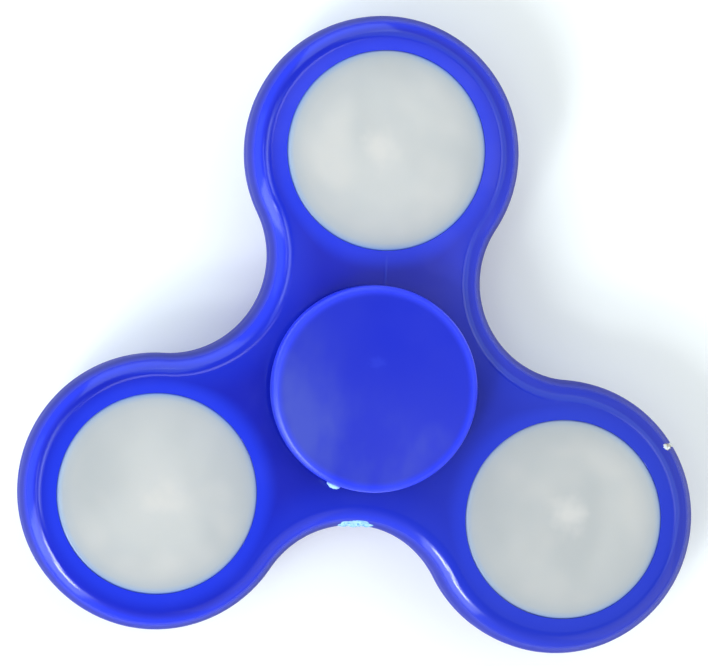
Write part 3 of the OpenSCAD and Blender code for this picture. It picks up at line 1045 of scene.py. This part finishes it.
def paint_lens(number):
    """Milky plastic with clouds of its own for each lens, and a paler spot over the switch's post."""
    p = Paint(f"lens_milky_plastic_{number}", Roughness=0.26, IOR=MILKY_IOR, Subsurface_Weight=0.25,
              Subsurface_Scale=1.0, Subsurface_Radius=(0.0016, 0.0018, 0.0022))
    shifted = p.vector("ADD", p.coords, (0.03 * number, 0.017 * number, 0.0))
    reach = p.math("DIVIDE", p.radius(), LENS_R * MM)
    # Painted glow: the lens turns blue at its edge, as if lit by the blue frame round it
    colour = p.ramp(reach, LENS_TONES_AND_EDGE_GLOW)
    shade = p.map(p.noise(78, 2, 0.5, shifted, (1.0, 0.6, 1.0)), 0.42, 0.66, 0.0, 0.5)
    colour = p.mix(shade, colour, (0.41, 0.41, 0.42))
    cloud = p.noise(95, 2, 0.5, shifted)
    inner = p.map(reach, 0.66, 0.94, 1.0, 0.1)
    cloud = p.math("MULTIPLY", p.map(cloud, 0.44, 0.68, 0.0, 0.65), inner)
    colour = p.mix(cloud, colour, (0.635, 0.59, 0.565))
    if number == DULLER_LENS:
        colour = p.mix(0.2, colour, (0.38, 0.37, 0.36))
    spot = p.vector("DISTANCE", p.flat(), (*polar(SWITCH_X * MM, pod_turn(number)), 0.0))
    ragged = p.math("ADD", spot, p.map(p.noise(420, 2, 0.5, shifted), 0.2, 0.8, -0.0007, 0.0009))
    warm = p.map(ragged, 0.0001, 0.0030, 0.75, 0.0)
    colour = p.mix(warm, colour, (0.66, 0.61, 0.58))
    return p.set(Base_Color=colour, Normal=p.bump(p.noise(60, 1, 0.4, shifted), 0.00002))


def paint_case():
    p = Paint("case_milky_plastic", IOR=MILKY_IOR, Subsurface_Weight=0.2,
              Subsurface_Scale=1.0, Subsurface_Radius=(0.0015, 0.0017, 0.002))
    reach = p.math("DIVIDE", p.radius(), POD_HOLE_R * MM)
    colour = p.ramp(reach, [(0.0, (0.60, 0.63, 0.62)), (0.5, (0.55, 0.58, 0.58)), (0.6, (0.60, 0.63, 0.63)),
                            (0.93, (0.55, 0.6, 0.64)), (1.0, (0.36, 0.47, 0.68))])
    colour = p.mix(p.map(p.noise(140, 3), 0.3, 0.7, 0.0, 0.3), colour, (0.66, 0.66, 0.63))
    rough = p.map(p.noise(240, 4, 0.6), 0.3, 0.75, 0.28, 0.42)
    return p.set(Base_Color=colour, Roughness=rough, Normal=p.bump(p.noise(1600, 3), 0.000004))


def paint_steel(name, colour, rough, grain=(1, 1, 1), depth=0.000002):
    p = Paint(name, Metallic=1.0)
    fine = p.noise(2200, 4, 0.6, stretch=grain)
    cloud = p.noise(180, 3)
    tone = p.mix(p.map(cloud, 0.3, 0.75, 0.0, 0.5), colour, tuple(c * 0.82 for c in colour))
    spread = p.map(fine, 0.3, 0.7, rough * 0.75, rough * 1.3)
    return p.set(Base_Color=tone, Roughness=spread, Normal=p.bump(fine, depth))


def paint_plastic(name, colour, rough, depth=0.000004, cloudy=0.15):
    p = Paint(name)
    cloud = p.noise(300, 3)
    tone = p.mix(p.map(cloud, 0.3, 0.7, 0.0, 1.0), colour, tuple(c * (1 - cloudy) for c in colour))
    spread = p.map(p.noise(900, 4, 0.6), 0.3, 0.7, rough * 0.85, rough * 1.15)
    return p.set(Base_Color=tone, Roughness=spread, Normal=p.bump(p.noise(2600, 3), depth))


def paint_board():
    """Green solder mask with copper lands, round tracks and a pale printed ring."""
    p = Paint("board_green_mask", Roughness=0.4)
    x, _, _ = p.axes()
    r = p.radius()
    weave = p.noise(1500, 2, 0.5, stretch=(1, 0.3, 1))
    colour = p.mix(weave, (0.02, 0.16, 0.06), (0.03, 0.22, 0.08))
    swirl = p.math("ADD", r, p.math("MULTIPLY", x, 0.3))
    track = p.math("SINE", p.math("MULTIPLY", swirl, TRACK_WAVES))
    tracks = p.math("MULTIPLY", p.map(track, 0.86, 0.95, 0, 1), p.map(r, 0.0032, 0.0036, 0, 1))
    colour = p.mix(p.math("MULTIPLY", tracks, 0.7), colour, (0.06, 0.36, 0.13))
    land = p.specks(420, 0.0004, 0.35)
    colour = p.mix(land, colour, (0.75, 0.66, 0.42))
    ring = p.math("MULTIPLY", p.map(r, 0.0080, 0.00805, 0, 1), p.map(r, 0.00818, 0.00823, 1, 0))
    colour = p.mix(ring, colour, (0.85, 0.86, 0.84))
    return p.set(Base_Color=colour, Metallic=p.math("MULTIPLY", land, 0.8),
                 Normal=p.bump(p.math("ADD", tracks, land), 0.00003))


def paint_diodes():
    """White packages with a yellow filling in the well."""
    p = Paint("diode_package", Roughness=0.35)
    fill = p.map(p.nearest(LED_PITCH, FIRST_LOBE), 0.00098, 0.00106, 1, 0)
    colour = p.mix(fill, (0.82, 0.82, 0.78), (0.82, 0.62, 0.12))
    cloud = p.noise(900, 3)
    colour = p.mix(p.map(cloud, 0.35, 0.7, 0, 0.25), colour, (0.7, 0.68, 0.55))
    return p.set(Base_Color=colour, Normal=p.bump(cloud, 0.000006))


# ---- Building the model ----
def build_frame():
    piece("frame_moulding", frame_shape(), "rotor", "frame", paint_frame(), sharp=None)
    piece("frame_gate_stub", gate_shape(), "rotor", None, paint_torn(), sharp=60)
    piece("frame_fleck", fleck_shape(), "rotor", None, paint_fleck(), sharp=60)


def build_hub():
    blue = paint_cap()
    piece("finger_cap_front", cap_shape(True), "hub", "front_cap", blue)
    piece("finger_cap_rear", cap_shape(False), "hub", "rear_cap", blue)
    race = paint_steel("race_ground_steel", (0.62, 0.62, 0.63), 0.22, (0.3, 0.3, 3))
    piece("bearing_inner_race", inner_race_shape(), "hub", "inner_race", race)
    piece("bearing_outer_race", outer_race_shape(), "rotor", "outer_race", race)
    polished = paint_steel("ball_polished_steel", (0.74, 0.74, 0.76), 0.06, depth=0.0000004)
    piece("bearing_ball_set", balls_shape(), "ball_ring", "bearing_balls", polished, sharp=60)
    nylon = paint_plastic("cage_nylon", (0.72, 0.66, 0.5), 0.45)
    piece("bearing_cage", cage_shape(), "ball_ring", "ball_cage", nylon, sharp=40)


def pod_parts():
    """The parts inside a pod: node, slot, shape, material and how far it is off the pod's axis."""
    chip = paint_plastic("chip_resin", (0.02, 0.02, 0.022), 0.5)
    cell = paint_steel("cell_plated_steel", (0.7, 0.69, 0.67), 0.28)
    clip = paint_steel("clip_plated_strip", (0.72, 0.69, 0.6), 0.3, (4, 0.3, 1))
    housing = paint_plastic("switch_resin", (0.025, 0.025, 0.028), 0.5)
    cover = paint_steel("cover_plated_steel", (0.66, 0.66, 0.66), 0.3, (0.3, 3, 1))
    plunger = paint_plastic("plunger_plastic", (0.7, 0.66, 0.55), 0.45)
    return (
        ("pod_case", "case_milky", case_shape(), paint_case(), 0.0),
        ("circuit_board", "board_green", board_shape(), paint_board(), 0.0),
        ("light_diodes", "diode_body", diodes_shape(), paint_diodes(), 0.0),
        ("controller_chip", "chip_black", chip_shape(), chip, 0.0),
        ("coin_cell", "cell_steel", cell_shape(), cell, 0.0),
        ("battery_clip", "clip_metal", clip_shape(), clip, 0.0),
        ("switch_base", "switch_black", switch_base_shape(), housing, SWITCH_X),
        ("switch_cover", "cover_steel", switch_cover_shape(), cover, SWITCH_X),
        ("switch_plunger", "plunger_plastic", plunger_shape(), plunger, SWITCH_X),
    )


def build_pods():
    parts, lens, dome = pod_parts(), lens_shape(), dome_shape()
    spring = paint_steel("dome_plated_spring", (0.78, 0.66, 0.38), 0.2)
    for i in PODS:
        for name, slot, shape, paint, aside in parts:
            body = f"plunger_{i}" if name == "switch_plunger" else "rotor"
            piece(f"{name}_look_{i}", shape, body, f"{name}_{i}", paint, i, aside)
        snap = piece(f"switch_dome_look_{i}", dome, "rotor",
                     f"switch_dome_{i}", spring, i, SWITCH_X)
        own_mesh(snap)
        piece(f"pod_lens_look_{i}", lens, f"lens_{i}", f"pod_lens_{i}", paint_lens(i), i)


# ---- Stage ----
# The camera's place in metres, the way it looks and its upright
CAMERA_AT = Vector((-0.08135, 0.01095, 0.53409))
CAMERA_AIM = Vector((0.14983, -0.00957, -0.98867))
CAMERA_UP = Vector((-0.06807, 0.99748, -0.01998))
CAMERA_LENS = 245.2


def set_camera():
    data = bpy.data.cameras.new("view_camera")
    data.lens = CAMERA_LENS
    data.sensor_width = 36
    data.clip_start = 0.01
    data.clip_end = 20
    camera = bpy.data.objects.new("view_camera", data)
    bpy.context.scene.collection.objects.link(camera)
    back = -CAMERA_AIM.normalized()
    right = CAMERA_UP.cross(back).normalized()
    up = back.cross(right)
    camera.matrix_world = Matrix.Translation(CAMERA_AT) @ Matrix((right, up, back)).transposed().to_4x4()
    bpy.context.scene.camera = camera


# Each softbox: azimuth and elevation of its middle, its width and height as seen from the
# object, all in degrees, its radiance, where the lit floor is 1, and its colour if not white
SOFTBOXES = {
    "key": (222, 28, 42, 42, 2.9, (0.86, 1.0, 1.0)),
    "key_core_low": (232, 38, 12, 8, 22.0, (0.9, 0.98, 1.0)),
    "key_core_high": (221, 48, 12, 9, 15.0, (0.86, 0.96, 1.0)),
    "left_strip": (200, 53, 34, 5, 2.2, (0.8, 0.96, 1.0)),
    "left_high": (172, 70, 24, 20, 1.1, (0.8, 0.96, 1.0)),
    "left_peak": (180, 69, 20, 7, 2.6, (0.8, 0.96, 1.0)),
    "left_fill": (190, 20, 56, 34, 0.9, (0.4, 0.6, 1.0)),
    "upper": (104, 30, 40, 46, 1.45, (0.75, 0.97, 1.0)),
    "right": (12, 36, 88, 56, 0.14),
    "lower_right": (320, 36, 40, 50, 0.35),
    "high_right": (40, 60, 60, 26, 1.0, (0.65, 0.96, 1.0)),
    "ceiling_left": (8, 67.5, 14, 10, 1.2),
    "ceiling_middle": (16, 79, 5, 4, 1.3),
    "ceiling_top": (77, 82, 10, 8, 2.6),
    "ceiling_right": (-15, 76.8, 7, 4, 0.5, (0.8, 0.98, 1.0)),
}
SOFTBOX_DISTANCE = 0.9
OBJECT_MIDDLE = Vector((0, 0, 0.012))
FLOOR_HALF = 3.0
FLOOR_GAP = 0.0002
FLOOR_GLOW = 0.09
WORLD_SIDES = 0.58
WORLD_TOP = 0.17


def softbox(name, azimuth, elevation, wide, tall, radiance, colour=(1, 1, 1)):
    """A rectangular light that faces the object."""
    data = bpy.data.lights.new(name, "AREA")
    data.shape = "RECTANGLE"
    data.size = 2 * SOFTBOX_DISTANCE * math.tan(math.radians(wide / 2))
    data.size_y = 2 * SOFTBOX_DISTANCE * math.tan(math.radians(tall / 2))
    data.energy = radiance * math.pi * data.size * data.size_y
    data.color = colour
    lamp = bpy.data.objects.new(name, data)
    bpy.context.scene.collection.objects.link(lamp)
    az, el = math.radians(azimuth), math.radians(elevation)
    aim = Vector((*polar(math.cos(el), az), math.sin(el)))
    lamp.matrix_world = (Matrix.Translation(aim * SOFTBOX_DISTANCE + OBJECT_MIDDLE)
                         @ aim.to_track_quat("Z", "Y").to_matrix().to_4x4())


def set_floor():
    """Pale paper that glows a little, so that the object's shadow stays light."""
    mesh = bpy.data.meshes.new("floor")
    corners = [(x * FLOOR_HALF, y * FLOOR_HALF, 0) for x, y in ((-1, -1), (1, -1), (1, 1), (-1, 1))]
    mesh.from_pydata(corners, [], [[0, 1, 2, 3]])
    floor = bpy.data.objects.new("floor", mesh)
    bpy.context.scene.collection.objects.link(floor)
    floor.location.z = -FLOOR_GAP
    p = Paint("floor_paper", Roughness=0.9, Specular_IOR_Level=0.1, Emission_Strength=FLOOR_GLOW,
              Emission_Color=(1.0, 0.93, 0.86, 1.0))
    tone = p.noise(30, 3)
    mesh.materials.append(p.set(Base_Color=p.mix(tone, (0.95, 0.93, 0.91), (0.97, 0.95, 0.93))))


def set_world():
    """White light from all round, dimmer overhead."""
    world = bpy.data.worlds.new("studio")
    bpy.context.scene.world = world
    world.use_nodes = True
    links, nodes = world.node_tree.links, world.node_tree.nodes
    height = nodes.new("ShaderNodeSeparateXYZ")
    links.new(nodes.new("ShaderNodeTexCoord").outputs["Generated"], height.inputs[0])
    fade = nodes.new("ShaderNodeMapRange")
    fade.interpolation_type = "SMOOTHSTEP"
    limits = {"From Min": 0.6, "From Max": 0.97, "To Min": WORLD_SIDES, "To Max": WORLD_TOP}
    for name, value in limits.items():
        fade.inputs[name].default_value = value
    links.new(height.outputs["Z"], fade.inputs["Value"])
    nodes["Background"].inputs["Color"].default_value = (1, 1, 1, 1)
    links.new(fade.outputs["Result"], nodes["Background"].inputs["Strength"])


def set_stage():
    set_floor()
    set_world()
    for name, values in SOFTBOXES.items():
        softbox(name, *values)
    bpy.context.scene.view_settings.view_transform = "Standard"


build_frame()
build_hub()
build_pods()
set_camera()
set_stage()
